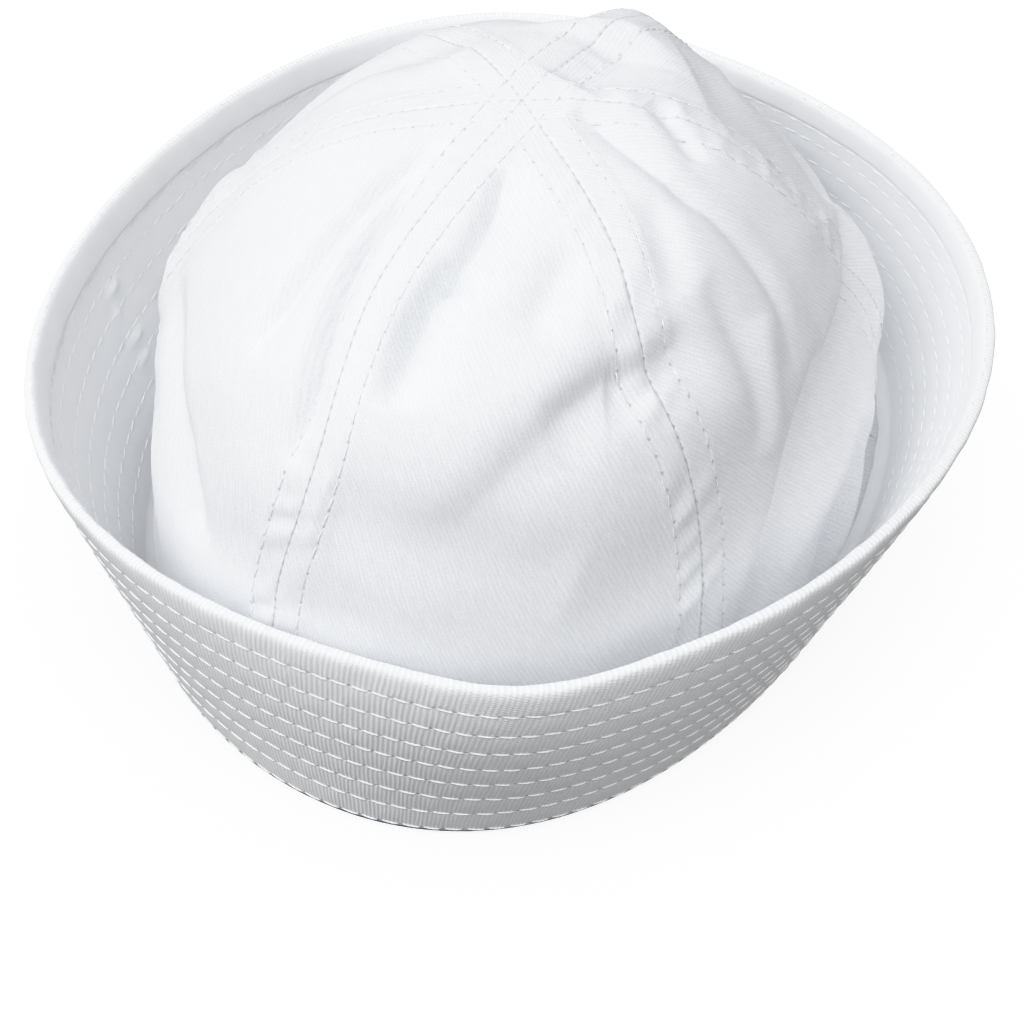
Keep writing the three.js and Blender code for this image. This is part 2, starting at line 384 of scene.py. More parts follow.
FOLDS = (
    # front gore
    Fold((283, 0.87), (279, 0.77), (271, 0.68), 3.2, -4.8, 0.4, 1.5),
    Fold((275, 0.72), (268.5, 0.64), (267, 0.53), 3.8, -7.0, 0.4, 1.5),
    Fold((311, 0.72), (303, 0.67), (295, 0.61), 5, -2.4),
    Fold((319, 0.54), (301, 0.505), (281, 0.39), 8, -1.5, 0.35),
    Fold((318, 0.55), (309, 0.53), (298, 0.51), 6.5, -2.0, 0.35),
    Fold((258, 0.42), (280, 0.39), (302, 0.34), 11, -2.5),
    # the pinch across the seam to the right of it
    Fold((312, 0.535), (321, 0.53), (332, 0.55), 6, -2.4, 0.35),
    # front right gore, the long crease from the top, the valley under its shoulder and its swollen side
    Fold((366, 0.91), (352, 0.80), (350, 0.65), 3.2, -1.7, 0.0, 1.5),
    Fold((349, 0.72), (352, 0.56), (348, 0.40), 3.4, -1.7, 0.0, 1.5),
    Fold((339, 0.73), (334.5, 0.66), (332, 0.59), 4, -1.3),
    Fold((338, 0.59), (338.5, 0.48), (336, 0.36), 3.8, -1.4),
    Fold((394, 0.315), (374, 0.335), (352, 0.345), 5.2, -3.4, -0.4, 1.6),
    Fold((360, 0.35), (342, 0.305), (327, 0.10), 6.0, -4.4, 0.4, 1.6),
    Fold((345, 0.50), (341, 0.42), (337, 0.34), 4.5, 1.4),
    Fold((376, 0.20), (353, 0.215), (337, 0.16), 5, 2.0),
    Fold((363, 0.20), (353, 0.16), (344, 0.08), 3.2, -2.4),
    Fold((399, 0.31), (391, 0.24), (384, 0.14), 10, 3.6),
    # the pinch at its foot
    Fold((368, 0.21), (357, 0.145), (349, 0.05), 2.6, 2.2, -0.35, 1.6),
    Fold((394, 0.07), (375, 0.05), (350, 0.01), 10, -8.0),
    # front left gore, its full shoulder and the tuck at its foot
    Fold((234, 0.82), (246, 0.63), (250, 0.44), 2.6, -5.6, 0.3, 1.5),
    Fold((226, 0.86), (235, 0.66), (235, 0.51), 2.6, -3.8, 0.3, 1.5),
    Fold((204, 0.42), (225, 0.36), (238, 0.27), 5.5, -3.4),
    Fold((183, 0.48), (192, 0.40), (201, 0.33), 14, 2.6),
    Fold((202, 0.28), (209, 0.18), (216, 0.06), 12, -1.7),
    # back right gore, its shoulder, the crease over its seam and the puffed seam behind it
    Fold((384, 0.79), (373, 0.745), (363, 0.69), 3, -1.8),
    Fold((44, 0.68), (34, 0.52), (24, 0.40), 18, -2.8),
    Fold((50, 0.92), (60, 0.83), (67, 0.71), 7.5, -2.7),
    Fold((72, 0.78), (82, 0.64), (87, 0.51), 13, 4.2),
    Fold((62, 0.50), (47, 0.40), (32, 0.27), 10, -2.4),
    # back and back left gores
    Fold((94, 0.75), (108, 0.56), (128, 0.42), 10, -3.2),
    Fold((90, 0.36), (106, 0.32), (122, 0.25), 12, -2.4),
    Fold((149, 0.82), (160, 0.60), (176, 0.46), 9, -3.0),
)


@dataclass(frozen=True)
class Seam:
    """A felled seam between two gores: its turn, the depth of its puckers and the phase of their waves.

    The lump is the height of the lumps beside the seam, and the ditch the depth of the ditch along it.
    """

    turn: float
    pucker: float
    phase: float
    lump: float = 0.0
    ditch: float = 0.2


@dataclass(frozen=True)
class Gore:
    """A gore between two seams, with the bias of its twill in degrees off its own length."""

    name: str
    start: int
    end: int
    bias: float


@dataclass(frozen=True)
class Thread:
    """Sewing thread laid as short stitches, each a tapered tube that dips into the cloth at both ends."""

    radius: float = 0.3
    proud: float = 0.22
    sink: float = 0.35
    bow: float = 0.12
    taper: float = 0.4
    rings: int = 6
    sides: int = 5

    def lay(
        self, name: str, starts: np.ndarray, ends: np.ndarray, normals: np.ndarray
    ) -> bpy.types.Object:
        """All stitches of a piece as one joined mesh.

        The middle line of a stitch is the chord from start to end, raised by proud in the middle and sunk at
        the ends as 1 - (2t - 1)^8, and bowed sideways as 1 - (2t - 1)^2. Its rings draw together at the ends.

        Args:
            name: Name of the piece.
            starts: Where the thread comes out of the cloth, (count, 3).
            ends: Where it goes back in.
            normals: Outward normals of the cloth there.

        Returns:
            The joined object.
        """
        share = (0.5 - 0.5 * np.cos(np.linspace(0.0, np.pi, self.rings)))[None, :, None]
        middle = 2.0 * share - 1.0
        chord = (ends - starts)[:, None]
        upward = normals[:, None]
        sideways = unit(np.cross(upward, chord))
        height = (self.proud + self.sink) * (1.0 - middle**8) - self.sink
        centre = starts[:, None] + chord * share + upward * height + sideways * self.bow * (1.0 - middle**2)
        angle = 2.0 * np.pi * np.arange(self.sides) / self.sides
        radius = self.radius * (1.0 - self.taper * middle**4)
        ring = sideways[:, :, None] * np.cos(angle)[:, None] + upward[:, :, None] * np.sin(angle)[:, None]
        points = centre[:, :, None] + ring * radius[..., None]
        count = len(starts)
        grid = quads(self.rings - 1, self.sides)
        number = grid[..., 0] * self.sides + grid[..., 1] % self.sides
        size = self.rings * self.sides
        base = np.arange(count)[:, None, None] * size
        walls = (base + number[None]).reshape(-1, 4)
        cap = np.arange(self.sides)
        first = base[:, 0] + cap[None, ::-1]
        last = base[:, 0] + (size - self.sides) + cap[None]
        weave = np.tile(grid / np.array([self.rings - 1, self.sides]), (count, 1, 1)).reshape(-1, 2)
        ends_map = np.zeros((2 * count * self.sides, 2))
        maps = {WEAVE_MAP: np.concatenate([weave, ends_map])}
        return write_mesh(name, points.reshape(-1, 3), [walls, first, last], maps)


@dataclass(frozen=True)
class Crown:
    """The soft crown: six gores, their felled seams and the stitching along them."""

    form: CrownForm = CrownForm()
    seams: tuple[Seam, ...] = (
        Seam(255, 0.62, 0.1, ditch=0.06),
        Seam(321, 0.95, 0.6),
        Seam(379, 0.60, 0.3, 0.5),
        Seam(438, 0.60, 0.8),
        Seam(501, 0.55, 0.5),
        Seam(556, 0.55, 0.2),
    )
    gores: tuple[Gore, ...] = (
        Gore("gore_front", 0, 1, 24.0),
        Gore("gore_front_right", 1, 2, 36.0),
        Gore("gore_back_right", 2, 3, 30.0),
        Gore("gore_back", 3, 4, 26.0),
        Gore("gore_back_left", 4, 5, 28.0),
        Gore("gore_front_left", 5, 6, 28.0),
    )
    cloth: float = 1.2
    gap: float = 0.03
    strip_half_width: float = 6.2
    strip_rise: float = 0.3
    strip_slope: float = 3.0
    strip_end: tuple[float, float] = (0.8, 0.95)
    ditch_end: tuple[float, float] = (0.9, 0.985)
    ditch_width: float = 0.5
    drawn_depth: float = 0.05
    drawn_width: float = 1.6
    groove_depth: float = 0.16
    groove_width: float = 0.8
    pucker_pitch: float = 9.3
    pucker_slant: float = 20.0
    pucker_fade: tuple[float, float] = (0.15, 0.5)
    pucker_drift: float = 0.35
    pucker_drift_length: float = 41.0
    pucker_group_length: float = 23.0
    lump_pitch: float = 12.0
    lump_offset: float = 2.5
    lump_width: float = 3.0
    lump_begin: tuple[float, float] = (0.3, 0.45)
    wobble: float = 0.22
    wobble_length: float = 26.0
    wobble_waves: int = 14
    wobble_seed: int = 7
    sewn_rise: float = 0.04
    hem_rise: float = 0.06
    stitch_pitch: float = 3.9
    stitch_share: float = 0.8
    stitch_slip: float = 0.08
    stitch_sway: float = 0.1
    stitch_seed: int = 21
    crossing: tuple[float, float] = (0.45, 0.7)
    crossing_reach: float = 0.98
    rib_pitch: float = 0.95
    columns: int = 118
    rows: int = 178
    tip: float = 0.9992
    meridian_steps: int = 600

    @property
    def plain(self) -> CrownForm:
        """The form without its bends, on which the seams and rows of stitching are laid out."""
        return replace(self.form, bends=())

    def seam(self, number: int) -> Seam:
        """A seam by number, where the one after the last is the first a turn further round."""
        whole, index = divmod(number, len(self.seams))
        return replace(self.seams[index], turn=self.seams[index].turn + 360.0 * whole)

    def meridian(self, turn: float) -> tuple[np.ndarray, np.ndarray]:
        """Lengths up a turn of the smooth form.

        Args:
            turn: The turn in degrees.

        Returns:
            Rises, and the lengths up from the foot to them.
        """
        rise = np.linspace(0.0, 1.0, self.meridian_steps)
        return rise, running_length(self.plain.point(turn, rise))

    def seam_place(self, seam: Seam, turn: np.ndarray, rise: np.ndarray) -> tuple[np.ndarray, np.ndarray]:
        """Where places lie beside a seam.

        Args:
            seam: The seam.
            turn: Turns of the places.
            rise: Their rises.

        Returns:
            Distances to the seam, and the lengths up it at their rises.
        """
        rises, lengths = self.meridian(seam.turn)
        apart = self.plain.point(turn, rise) - self.plain.point(seam.turn, rise)
        return np.linalg.norm(apart, axis=-1), np.interp(rise, rises, lengths)

    def unevenness(self, points: np.ndarray) -> np.ndarray:
        """Slow wobble of the cloth: a sum of plane waves in fixed random directions.

        Args:
            points: Points on the form, (count, 3).

        Returns:
            Offsets along the normals, (count,).
        """
        draw = np.random.default_rng(self.wobble_seed)
        total = np.zeros(points.shape[:-1])
        for _ in range(self.wobble_waves):
            direction = unit(draw.normal(size=3)) / (self.wobble_length * draw.uniform(0.6, 1.5))
            total += swing(points @ direction + draw.uniform())
        return self.wobble * total / np.sqrt(self.wobble_waves / 2.0)

    def seam_relief(self, turn: np.ndarray, rise: np.ndarray) -> np.ndarray:
        """Height of the seam strips over the smooth form.

        Each strip is raised to its topstitching, and sunk in a ditch along the seam and in a groove under
        each row of stitches. It is rippled by slanting puckers that are deepest near the foot, drawn in at
        each stitch, and lumpy along the seam where that has lumps.

        Args:
            turn: Turns of the places, (count,).
            rise: Their rises.

        Returns:
            Offsets along the normals, (count,).
        """
        strip = np.zeros(len(turn))
        detail = np.zeros(len(turn))
        edge = self.strip_half_width
        calm = 1.0 - smoothstep(rise, *self.strip_end)
        open_seam = 1.0 - smoothstep(rise, *self.ditch_end)
        for seam in self.seams:
            side = np.sign(wrapped(turn - seam.turn))
            distance, length = self.seam_place(seam, turn, rise)
            raised = 1.0 - smoothstep(distance, edge, edge + self.strip_slope)
            strip = np.maximum(strip, self.strip_rise * raised)
            groove = -self.groove_depth * bell(distance - edge, self.groove_width)
            ditch = -seam.ditch * bell(distance, self.ditch_width)
            drift = self.pucker_drift * swing(length / self.pucker_drift_length + seam.phase)
            slanted = side * distance / self.pucker_slant
            wave = swing(length / self.pucker_pitch - slanted + drift + seam.phase)
            low = 0.3 + 0.7 * (1.0 - smoothstep(rise, *self.pucker_fade))
            grouped = 0.65 + 0.35 * swing(length / self.pucker_group_length + 2.0 * seam.phase)
            low = low * grouped * (0.75 - 0.25 * side)
            window = (1.0 - smoothstep(distance, 0.8 * edge, 1.25 * edge)) * smoothstep(distance, 0.0, 1.2)
            lump = np.clip(swing(length / self.lump_pitch + seam.phase), 0.0, None) ** 2
            lump = lump * bell(distance - self.lump_offset, self.lump_width)
            detail += groove * calm + ditch * open_seam + seam.pucker * wave * low * window * calm
            detail += seam.lump * lump * open_seam * smoothstep(rise, *self.lump_begin)
            drawn = np.cos(2.0 * np.pi * length / self.stitch_pitch) * bell(distance - edge, self.drawn_width)
            detail += self.drawn_depth * drawn * calm
        return strip + detail

    def relief(self, turn: np.ndarray, rise: np.ndarray) -> tuple[np.ndarray, np.ndarray]:
        """Cloth surface at places of the form, where the folds fade to nothing at the sewn foot.

        Args:
            turn: Turns in degrees, (count,).
            rise: Rises from 0 to 1.

        Returns:
            Points on the cloth's outer face and the form's outward normals.
        """
        points = self.form.point(turn, rise)
        normals = self.form.normal(turn, rise)
        offset = self.seam_relief(turn, rise)
        steady = smoothstep(rise, 0.0, self.hem_rise) * (1.0 - smoothstep(rise, 0.9, 1.0))
        offset += self.unevenness(points) * steady
        sewn = smoothstep(rise, 0.0, self.sewn_rise)
        for fold in FOLDS:
            offset += fold.lift(self.form, points, normals) * sewn
        return points + normals * offset[:, None], normals

    def gore_piece(self, gore: Gore) -> bpy.types.Object:
        """One gore as a closed shell of cloth between two grids of points.

        Rows are evenly spaced along the gore's middle line, and columns draw together towards the seams as
        u - sin(2 pi u) / 4 pi, so that the ditches and grooves are finely divided.

        Args:
            gore: Which gore.

        Returns:
            The gore's object.
        """
        first, last = self.seam(gore.start).turn, self.seam(gore.end).turn
        rises, lengths = self.meridian((first + last) / 2.0)
        length = np.linspace(0.0, np.interp(self.tip, rises, lengths), self.rows + 1)
        rise = np.interp(length, lengths, rises)
        share = np.linspace(0.0, 1.0, self.columns + 1)
        share = share - np.sin(2.0 * np.pi * share) / (4.0 * np.pi)
        breadth = np.linalg.norm(self.form.point(first, rise) - self.form.point(last, rise), axis=-1)
        margin = np.minimum(self.gap / breadth, 0.1)[:, None] * (last - first)
        turn = first + margin + (last - first - 2.0 * margin) * share[None]
        rise_grid = np.broadcast_to(rise[:, None], turn.shape)
        outer, normals = self.relief(turn.ravel(), rise_grid.ravel())
        inner = outer - normals * self.cloth
        foot = slice(0, self.columns + 1)
        outer[foot, 2] = self.form.foot_level
        inner[foot, 2] = self.form.foot_level

        grid = quads(self.rows, self.columns)
        across = self.columns + 1
        number = grid[..., 0] * across + grid[..., 1]
        inside = number[:, ::-1] + len(outer)
        faces = [number, inside, self.rim_faces(len(outer))]
        widths = self.row_lengths(turn, rise)
        weave = self.weave_places(gore, widths, length, share)
        stitch = self.stitch_places(gore, turn, rise_grid)
        corners = np.concatenate([face.ravel() for face in faces]) % len(outer)
        maps = {WEAVE_MAP: weave[corners], STITCH_MAP: stitch[corners]}
        piece = write_mesh(f"cloth_{gore.name}", np.concatenate([outer, inner]), faces, maps)
        return piece

    def rim_faces(self, inside: int) -> np.ndarray:
        """Quads that close a gore's shell along its four edges, from the outer to the inner grid.

        Args:
            inside: How many vertices come before the inner grid's.

        Returns:
            Vertex numbers, (count, 4).
        """
        across = self.columns + 1
        number = np.arange((self.rows + 1) * across).reshape(self.rows + 1, across)
        loop = np.concatenate([number[0, :-1], number[:-1, -1], number[-1, :0:-1], number[:0:-1, 0]])
        after = np.roll(loop, -1)
        return np.stack([loop, loop + inside, after + inside, after], axis=1)

    def row_lengths(self, turn: np.ndarray, rise: np.ndarray) -> np.ndarray:
        """Length of each row of a gore across the smooth form."""
        points = self.form.point(turn, np.broadcast_to(rise[:, None], turn.shape))
        return np.linalg.norm(np.diff(points, axis=1), axis=-1).sum(axis=1)

    def weave_places(
        self, gore: Gore, widths: np.ndarray, length: np.ndarray, share: np.ndarray
    ) -> np.ndarray:
        """Weave map of a gore: across its ribs counted in ribs, and along them in millimetres.

        Places are laid out flat, sideways from the gore's middle line and up it, and turned by the bias.

        Args:
            gore: Which gore.
            widths: Lengths of its rows.
            length: Lengths up to the rows.
            share: Shares of the columns across it.

        Returns:
            Map places, (count, 2).
        """
        sideways = (share[None] - 0.5) * widths[:, None]
        upward = np.broadcast_to(length[:, None], sideways.shape)
        bias = np.radians(gore.bias)
        across = sideways * np.cos(bias) + upward * np.sin(bias)
        along = upward * np.cos(bias) - sideways * np.sin(bias)
        return np.stack([across / self.rib_pitch, along], axis=-1).reshape(-1, 2)

    def stitch_places(self, gore: Gore, turn: np.ndarray, rise: np.ndarray) -> np.ndarray:
        """Stitch map of a gore: distance to the nearer seam in millimetres, and stitches along it.

        Args:
            gore: Which gore.
            turn: Turns of its grid.
            rise: Rises of its grid.

        Returns:
            Map places, (count, 2).
        """
        found = []
        for number in (gore.start, gore.end):
            distance, length = self.seam_place(self.seam(number), turn, rise)
            found.append(np.stack([distance, length / self.stitch_pitch], axis=-1))
        half = self.columns // 2 + 1
        return np.concatenate([found[0][:, :half], found[1][:, half:]], axis=1).reshape(-1, 2)

    def row_places(self, seam: Seam, length: np.ndarray, offset: float) -> tuple[np.ndarray, np.ndarray]:
        """Places of a row of stitches beside a seam, up to where it passes the top.

        Seen from above the row is the seam's straight line moved sideways by the offset, so the rows of
        opposite seams run into each other and cross the others round the top.

        Args:
            seam: The seam that the row follows.
            length: Lengths up the seam from the foot.
            offset: Distance to the seam, positive towards larger turns.

        Returns:
            Turns and rises of the places.
        """
        rises, lengths = self.meridian(seam.turn)
        rise = np.interp(length, lengths, rises)
        top = self.plain.point(seam.turn, 1.0)
        away = self.plain.point(seam.turn, rise)[:, :2] - top[:2]
        heading = unit(self.plain.point(seam.turn, 0.5)[:2] - top[:2])
        sideways = np.array([-heading[1], heading[0]])
        beside = away + sideways * offset
        half = np.array(self.form.widest.half)
        before, after = away / half, beside / half
        swung = np.arctan2(after[:, 1], after[:, 0]) - np.arctan2(before[:, 1], before[:, 0])
        turn = seam.turn + wrapped(np.degrees(swung))
        reach = np.clip(np.linalg.norm(after, axis=1), 0.0, self.crossing_reach)
        power = self.form.power(turn)
        lifted = np.degrees(np.arctan2((1.0 - reach**power) ** (1.0 / power), reach)) / 90.0
        upper = smoothstep(rise, *self.crossing)
        return turn, rise + (lifted - rise) * upper

    def stitch_piece(self, thread: Thread) -> bpy.types.Object:
        """Both rows of topstitching beside every seam, as one joined mesh.

        Args:
            thread: The thread.

        Returns:
            The joined object.
        """
        draw = np.random.default_rng(self.stitch_seed)
        starts, ends, normals = [], [], []
        for seam in self.seams:
            _, lengths = self.meridian(seam.turn)
            for offset in (-self.strip_half_width, self.strip_half_width):
                count = int(lengths[-1] / self.stitch_pitch)
                begin = np.arange(count) * self.stitch_pitch
                jitter = draw.normal(0.0, self.stitch_slip, (2, count))
                lean = draw.normal(0.0, self.stitch_sway, (2, count))
                share = self.stitch_share * self.stitch_pitch
                first = self.row_places(seam, np.clip(begin + jitter[0], 0.0, None), offset)
                last = self.row_places(seam, begin + share + jitter[1], offset)
                point, normal = self.relief(*first)
                after, _ = self.relief(*last)
                sideways = unit(np.cross(normal, after - point))
                starts.append(point + sideways * lean[0][:, None])
                ends.append(after + sideways * lean[1][:, None])
                normals.append(normal)
        return thread.lay("crown_topstitch", *(np.concatenate(part) for part in (starts, ends, normals)))


@dataclass(frozen=True)
class BrimFront:
    """The front of the brim, where its rim is pulled out to a low lip and its wall is bowed outward."""

    turn: float = 291.0
    lip_spread: float = 13.5
    lip_reach: float = 4.1
    bow_spread: float = 45.0
    bow_depth: float = 2.0

    def share(self, angle: np.ndarray, spread: float) -> np.ndarray:
        """Bell curve of the distance in degrees from the front's turn."""
        return bell(wrapped(np.degrees(angle) - self.turn), spread)

    def lip(self, angle: np.ndarray) -> np.ndarray:
        """How the rim is moved outward, level with the floor."""
        heading = np.stack([np.cos(angle), np.sin(angle), np.zeros_like(angle)], axis=-1)
        return heading * (self.lip_reach * self.share(angle, self.lip_spread))[..., None]

    def bow(self, angle: np.ndarray, share: np.ndarray) -> np.ndarray:
        """How far the wall is bowed out at a share s of its height: 27/4 s^2 (1 - s), most at two thirds."""
        return self.bow_depth * self.share(angle, self.bow_spread) * 6.75 * share**2 * (1.0 - share)


@dataclass(frozen=True)
class Slub:
    """A thick place in a yarn: its turn and height on the wall, its half sizes and how proud it stands."""

    turn: float
    height: float
    across: float
    along: float
    proud: float

    def lift(self, angle: np.ndarray, height: np.ndarray, radius: float) -> np.ndarray:
        """How far it stands out: a bell curve of the distance round the wall times one of that up it."""
        round_wall = (angle - np.radians(self.turn)) * radius
        return self.proud * bell(round_wall, self.across) * bell(height - self.height, self.along)


@dataclass(frozen=True)
class Brim:
    """The doubled brim turned up round the crown: its wall, rolled edge, foot and rows of stitching."""

    foot: Oval = FOOT_OVAL
    rim: Oval = RIM_OVAL
    width: float = 54.7
    cloth: float = 2.4
    turn_in: float = 7.5
    corner: float = 2.0
    corner_angles: tuple[float, ...] = (60.0, 30.0, 5.0)
    heel: float = 0.5
    sole_steps: int = 8
    flap_steps: int = 7
    row_count: int = 8
    top_margin: float = 1.0
    foot_margin: float = 0.35
    front: BrimFront = BrimFront()
    groove: float = 0.06
    puff: float = 0.05
    puff_reach: float = 1.5
    bead_out: float = 0.05
    bead_in: float = 0.75
    bead_square: float = 1.7
    bead_lumps: tuple[int, int] = (26, 61)
    bead_twists: int = 97
    ripple: float = 0.07
    ripples: tuple[int, int] = (45, 80)
    ripple_drift_length: float = 67.0
    row_phase: float = 0.37
    inner_phase: float = 0.5
    crease: float = 0.5
    crease_width: float = 0.7
    below_crease: float = 2.2
    slubs: tuple[Slub, ...] = (
        Slub(181.0, 39.8, 2.2, 1.1, 1.1),
        Slub(183.0, 34.7, 1.6, 1.3, 0.9),
        Slub(182.5, 26.2, 2.6, 0.9, 1.0),
        Slub(183.5, 21.1, 3.0, 0.8, 0.9),
    )
    stitch_pitch: float = 4.6
    stitch_share: float = 0.9
    stitch_lean: float = 0.2
    stitch_slip: float = 0.1
    stitch_sway: float = 0.07
    stitch_seed: int = 5
    rib_pitch: float = 1.0
    slant: float = 25.0
    slant_turn: float = 355.0
    slant_power: int = 6
    columns: int = 620
    row_steps: int = 8
    bead_steps: int = 22
    length_steps: int = 2000
    stitch_steps: int = 4000

    @property
    def top_row(self) -> float:
        """Height up the wall of the last row, under the rolled edge."""
        return self.row_height(self.row_count - 1)

    @property
    def pitch(self) -> float:
        """Spacing of the rows of stitching."""
        return self.width / (self.row_count - 1 + self.top_margin + self.foot_margin)

    def row_height(self, row: np.ndarray | float) -> np.ndarray | float:
        """Height up the wall of a row, counted from 0 at the foot."""
        return (self.foot_margin + row) * self.pitch

    def axes(self, angle: np.ndarray) -> tuple[np.ndarray, np.ndarray, np.ndarray, np.ndarray]:
        """Where the wall stands, and its directions.

        Args:
            angle: Angles in radians.

        Returns:
            Foot points, and the directions up the wall, out of it and level outward.
        """
        foot = self.foot.points(angle)
        rim = self.rim.points(angle) + self.front.lip(angle)
        rim[..., 2] = np.sqrt(self.width**2 - ((rim - foot) ** 2).sum(-1))
        step = 0.01
        along = self.foot.points(angle + step) - self.foot.points(angle - step)
        level = unit(np.stack([along[..., 1], -along[..., 0], np.zeros_like(angle)], axis=-1))
        upward = unit(rim - foot)
        outward = unit(level - upward * (level * upward).sum(-1, keepdims=True))
        return foot, upward, outward, level

    def wall(self, angle: np.ndarray, height: np.ndarray, depth: np.ndarray) -> np.ndarray:
        """Points of the wall: foot + upward * height + outward * (bow - depth).

        Args:
            angle: Angles in radians.
            height: Heights up the wall.
            depth: Depths behind the plain outer face.

        Returns:
            Points, (..., 3).
        """
        angle, height, depth = np.broadcast_arrays(angle, height, depth)
        foot, upward, outward, _ = self.axes(angle)
        reach = self.front.bow(angle, height / self.width) - depth
        return foot + upward * height[..., None] + outward * reach[..., None]

    def row_lengths(self, angle: np.ndarray, row: float) -> np.ndarray:
        """Length along a row from angle 0.

        Args:
            angle: Angles in radians.
            row: The row, counted from 0 at the foot.

        Returns:
            Lengths at the angles.
        """
        fine = np.linspace(0.0, 2.0 * np.pi, self.length_steps)
        points = self.wall(fine, np.asarray(self.row_height(row)), np.asarray(0.0))
        return np.interp(angle, fine, running_length(points))

    def stitch_count(self, row: float) -> int:
        """Whole number of stitches round a row."""
        return int(round(float(self.row_lengths(np.array(2.0 * np.pi), row)) / self.stitch_pitch))

    def swell(self, angle: np.ndarray, height: np.ndarray, face: Face) -> np.ndarray:
        """How far the quilted cloth stands out of a face.

        It is sunk by the groove along every row, puffed between the rows, and rippled by puckers that run up
        the wall and differ from row to row. The inner face has a crease under the rolled edge, and slubs.

        Args:
            angle: Angles in radians.
            height: Heights up the wall, of a shape that fits the angles.
            face: Which face.

        Returns:
            Offsets out of the cloth.
        """
        row = height / self.pitch - self.foot_margin
        gap = np.abs(row - np.round(row)) * self.pitch
        rise = 1.0 - bell(gap, self.puff_reach)
        length = angle * self.foot.mean_half
        turns = angle / (2.0 * np.pi)
        phase = self.row_phase * np.floor(row) + (0.0 if face is Face.OUTER else self.inner_phase)
        first = swing(self.ripples[0] * turns + phase + 0.2 * swing(length / self.ripple_drift_length))
        second = swing(self.ripples[1] * turns + 1.7 * phase)
        pucker = self.ripple * rise * (0.65 * first + 0.35 * second)
        swell = (self.groove + self.puff) * rise - self.groove + pucker
        if face is Face.INNER:
            swell = swell - self.crease * bell(height - self.top_row, self.crease_width)
            for slub in self.slubs:
                swell = swell + slub.lift(angle, height, self.rim.mean_half)
        return swell

    def squarish(self, leg: np.ndarray | float) -> np.ndarray:
        """A sine or cosine of the rolled edge, drawn towards its ends so that the oval grows square."""
        return np.sign(leg) * np.abs(leg) ** (1.0 / self.bead_square)

    def section(self, angle: np.ndarray) -> np.ndarray:
        """Closed section of the brim at every angle, as a grid of points with one row for each step round it.

        It runs up the outer face, over the rolled edge, down the inner face, in along the turned-in foot and
        back under it. The rolled edge is a squarish oval, |x|^3.4 + |y|^3.4 = 1 scaled, from the last row of
        stitching outside to that inside.

        Args:
            angle: Angles in radians, (columns,).

        Returns:
            Points, (steps, columns, 3).
        """
        across = angle[None, :]
        rows = np.arange(-1, (self.row_count - 1) * self.row_steps + 1) / self.row_steps
        outer_height = self.row_height(rows)[:, None]
        outer = self.wall(across, outer_height, -self.swell(across, outer_height, Face.OUTER))
        inner_height = self.row_height(rows[:1:-1] - 0.5 / self.row_steps)[:, None]
        inner = self.wall(across, inner_height, self.cloth + self.swell(across, inner_height, Face.INNER))

        thick = (self.cloth + self.bead_out + self.bead_in) / 2.0
        centre = (self.cloth + self.bead_in - self.bead_out) / 2.0
        begin = np.arcsin(((centre - self.groove) / thick) ** self.bead_square)
        finish = 2.0 * np.pi - np.arcsin(((self.cloth - self.groove - centre) / thick) ** self.bead_square)
        half = (self.width - self.top_row) / (1.0 + self.squarish(np.cos(begin)))
        round_edge = np.linspace(begin, finish, self.bead_steps + 2)[1:-1, None]
        turns = across / (2.0 * np.pi)
        few, many = self.bead_lumps
        lumps = 1.0 + 0.05 * swing(few * turns) + 0.04 * swing(many * turns + 0.3)
        twist = 0.03 * swing(self.bead_twists * turns + round_edge / (2.0 * np.pi))
        bead_height = self.width - half - half * self.squarish(np.cos(round_edge))
        reach = (thick * lumps + twist) * self.squarish(np.sin(round_edge))
        bead = self.wall(across, bead_height, centre - reach)

        foot, _, _, level = self.axes(angle)
        round_corner = np.radians(self.corner_angles)
        bevel = self.corner * (1.0 - np.cos(round_corner))
        lift = self.corner * (1.0 - np.sin(round_corner))
        flat = np.linspace(self.turn_in, self.corner, self.sole_steps)
        top = np.linspace(self.cloth + self.heel, self.turn_in, self.flap_steps)
        inset = np.concatenate([top, flat, bevel])
        level_height = np.concatenate([np.full_like(top, self.cloth), np.zeros_like(flat), lift])
        ring = foot[None] - level[None] * inset[:, None, None]
        ring[..., 2] = level_height[:, None]
        return np.concatenate([outer, bead, inner, ring])

